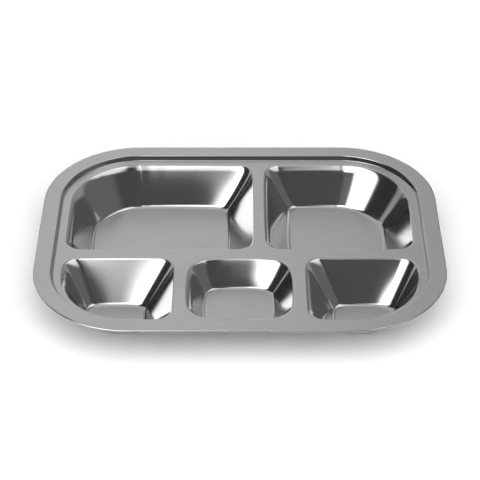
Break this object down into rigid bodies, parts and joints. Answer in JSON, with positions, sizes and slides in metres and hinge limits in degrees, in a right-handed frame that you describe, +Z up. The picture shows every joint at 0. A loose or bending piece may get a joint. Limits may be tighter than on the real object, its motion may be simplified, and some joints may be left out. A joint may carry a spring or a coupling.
{
  "type": "divided compartment plate",
  "caption": "Pressed stainless steel meal tray with a flat flanged rim, a stepped deck and sloping compartments of different sizes.",
  "frame": {"origin": "on the surface that the tray stands on, under the middle of its outline", "axes": "+X along the long side to the right, +Y to the back, where the two large compartments are, +Z up"},
  "size_m": [0.34, 0.26, 0.0356],
  "materials": {
    "satin_steel": "satin stainless steel of the flat flange, deck and dividers",
    "polished_steel": "stainless steel drawn bright on the compartments' walls and the step"
  },
  "bodies": {
    "root": {"rim_edge": "satin_steel", "rim_flange": "satin_steel", "deck_border": "satin_steel", "cross_divider": "satin_steel", "back_divider": "satin_steel", "front_left_divider": "satin_steel", "front_right_divider": "satin_steel", "rim_step": "polished_steel", "back_left_well": "polished_steel", "back_right_well": "polished_steel", "front_left_well": "polished_steel", "front_centre_well": "polished_steel", "front_right_well": "polished_steel"}
  },
  "joints": []
}
